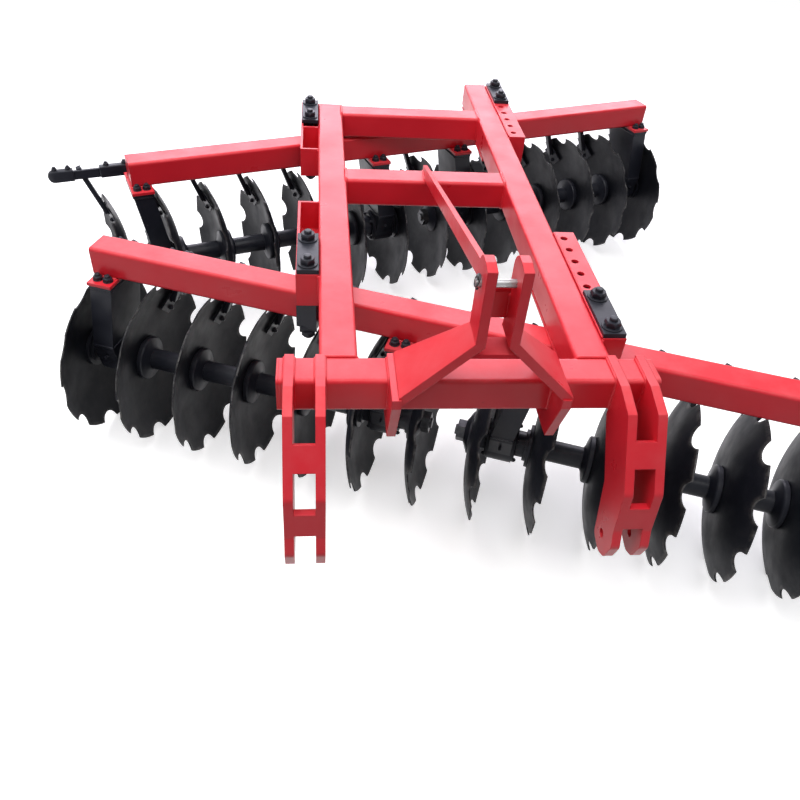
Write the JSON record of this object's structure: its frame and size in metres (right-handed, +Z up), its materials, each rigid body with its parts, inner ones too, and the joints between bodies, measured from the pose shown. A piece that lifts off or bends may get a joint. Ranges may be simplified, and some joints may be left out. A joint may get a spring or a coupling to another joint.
{
  "type": "disc harrow",
  "caption": "Tractor-mounted offset disc harrow: a welded tube frame with a bent-plate mast carries two slanted gangs of notched dished discs on bearing stands, with scrapers.",
  "frame": {"origin": "on the ground under the middle of the harrow's bounding box", "axes": "+X across the machine along the right-hand lower link pin, +Y from the hitch to the rear, +Z up"},
  "size_m": [3.3145, 3.2042, 1.3638],
  "materials": {
    "red_paint": "semi-gloss red paint",
    "black_paint": "satin black paint",
    "disc_black": "satin black paint on steel",
    "dark_steel": "dark oiled steel",
    "bare_steel": "bare steel"
  },
  "bodies": {
    "frame": {"left_rail": "red_paint", "right_rail": "red_paint", "front_tube": "red_paint", "middle_tube": "red_paint", "rear_tube": "red_paint", "front_beam": "red_paint", "rear_beam": "red_paint", "end_caps": "red_paint", "lower_link_left": "red_paint", "lower_link_right": "red_paint", "mast_left": "red_paint", "mast_right": "red_paint", "mast_web": "red_paint", "mast_back": "red_paint", "mast_hooks": "red_paint", "mast_brace": "red_paint", "clamp_boxes_left": "red_paint", "clamp_boxes_right": "red_paint", "stand_plates_front": "red_paint", "stand_plates_rear": "red_paint", "clamp_plates": "black_paint", "clamp_blocks": "black_paint", "clamp_bolts": "black_paint", "stands_front": "black_paint", "stands_rear": "black_paint", "scraper_bar_front": "black_paint", "scraper_bar_rear": "black_paint", "scraper_lugs_front": "black_paint", "scraper_lugs_rear": "black_paint", "scrapers_front": "black_paint", "scrapers_rear": "black_paint", "top_link_pin": "bare_steel"},
    "front_left_gang": {"front_left_discs": "disc_black", "front_left_spools": "black_paint", "front_left_axle": "dark_steel"},
    "front_right_gang": {"front_right_discs": "disc_black", "front_right_spools": "black_paint", "front_right_axle": "dark_steel"},
    "rear_left_gang": {"rear_left_discs": "disc_black", "rear_left_spools": "black_paint", "rear_left_axle": "dark_steel"},
    "rear_right_gang": {"rear_right_discs": "disc_black", "rear_right_spools": "black_paint", "rear_right_axle": "dark_steel"}
  },
  "joints": [
    {"name": "front_left_spin", "type": "hinge", "parent": "frame", "child": "front_left_gang", "pos_m": [-0.75666, -0.52074, 0.322], "axis": [0.9412, -0.3378, 0], "continuous": true},
    {"name": "front_right_spin", "type": "hinge", "parent": "frame", "child": "front_right_gang", "pos_m": [0.72315, -1.05176, 0.322], "axis": [0.9412, -0.3378, 0], "continuous": true},
    {"name": "rear_left_spin", "type": "hinge", "parent": "frame", "child": "rear_left_gang", "pos_m": [-0.72263, 0.57177, 0.322], "axis": [0.9425, 0.3341, 0], "continuous": true},
    {"name": "rear_right_spin", "type": "hinge", "parent": "frame", "child": "rear_right_gang", "pos_m": [0.75921, 1.0971, 0.322], "axis": [0.9425, 0.3341, 0], "continuous": true}
  ]
}
